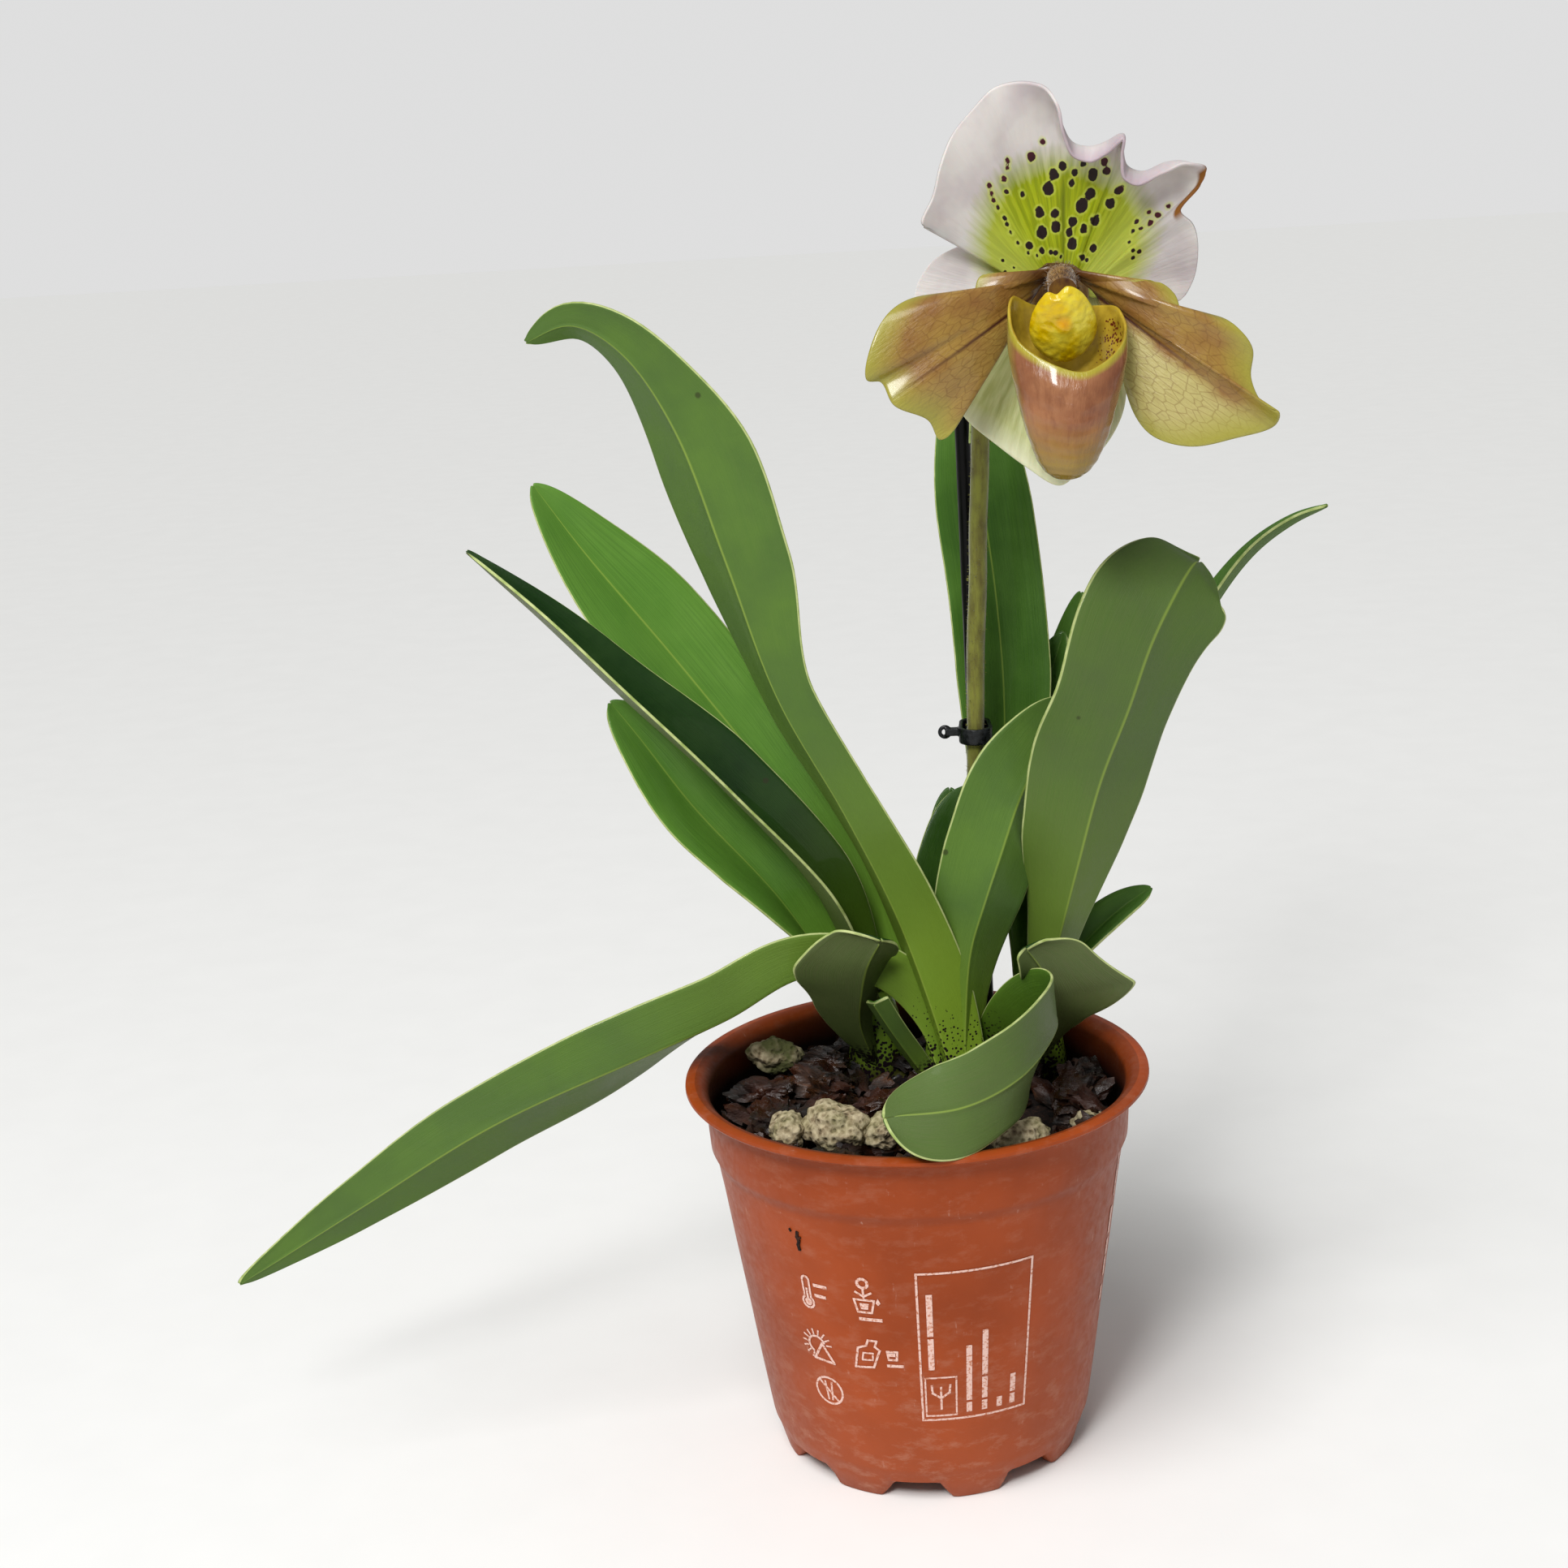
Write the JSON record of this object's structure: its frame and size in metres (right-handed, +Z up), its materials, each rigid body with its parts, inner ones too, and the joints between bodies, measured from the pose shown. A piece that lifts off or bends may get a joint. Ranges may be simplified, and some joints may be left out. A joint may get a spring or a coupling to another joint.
{
  "type": "potted orchid",
  "caption": "Slipper orchid in flower, with strap leaves and a staked stem, in a tapered nursery pot of bark and pumice.",
  "frame": {"origin": "centre of the whole plant's outline seen from above, on the plane that the pot's feet stand on", "axes": "+Z up along the pot's axis, -Y towards the flower's face, +X to the flower's left-hand side as it faces out (right in a front view)"},
  "size_m": [0.293, 0.1294, 0.3472],
  "materials": {
    "pot": "terracotta-coloured injection-moulded polypropylene, satin, faintly dusty",
    "growing_mix": "damp fine bark mix, rough",
    "bark": "orchid bark chips, rough, broken edges",
    "pumice": "pumice pebbles, pitted, slightly mossy",
    "crown": "plant tissue: waxy leaf bases, purple-black speckles low down",
    "leaf": "plant tissue: waxy strap leaves, pale margins",
    "flower_stem": "plant tissue: olive, finely hairy",
    "ovary": "plant tissue: ribbed, hairy, olive",
    "bract": "plant tissue: thin green sheath",
    "support_stick": "black coated flower stick",
    "stem_clip": "black moulded plant clip",
    "dorsal_sepal": "plant tissue: white with a green-yellow base and maroon spots",
    "petal": "plant tissue: glossy ochre-brown with yellow-green margins",
    "synsepal": "plant tissue: pale green, whitish margin",
    "pouch": "plant tissue: glossy brownish pink, yellow inside",
    "column": "plant tissue: glossy yellow shield"
  },
  "bodies": {
    "root": {"bark_chip_1": "bark", "bark_chip_10": "bark", "bark_chip_11": "bark", "bark_chip_12": "bark", "bark_chip_13": "bark", "bark_chip_14": "bark", "bark_chip_2": "bark", "bark_chip_3": "bark", "bark_chip_4": "bark", "bark_chip_5": "bark", "bark_chip_6": "bark", "bark_chip_7": "bark", "bark_chip_8": "bark", "bark_chip_9": "bark", "bract": "bract", "column": "column", "crown": "crown", "dorsal_sepal": "dorsal_sepal", "flower_stem": "flower_stem", "growing_mix": "growing_mix", "leaf_back_left": "leaf", "leaf_back_narrow": "leaf", "leaf_back_short": "leaf", "leaf_behind_stem": "leaf", "leaf_broad_right": "leaf", "leaf_cut_stub": "leaf", "leaf_drooping_left": "leaf", "leaf_far_right": "leaf", "leaf_folded_right": "leaf", "leaf_front_curled": "leaf", "leaf_front_left_short": "leaf", "leaf_front_middle": "leaf", "leaf_front_right_short": "leaf", "leaf_inner_left": "leaf", "leaf_low_left": "leaf", "leaf_low_right": "leaf", "leaf_reaching_right": "leaf", "leaf_strap_left": "leaf", "leaf_tall_left": "leaf", "leaf_wide_left": "leaf", "ovary": "ovary", "petal_left": "petal", "petal_right": "petal", "pot": "pot", "pouch": "pouch", "pumice_1": "pumice", "pumice_2": "pumice", "pumice_3": "pumice", "pumice_4": "pumice", "pumice_5": "pumice", "pumice_6": "pumice", "stem_clip": "stem_clip", "support_stick": "support_stick", "synsepal": "synsepal"}
  },
  "joints": []
}
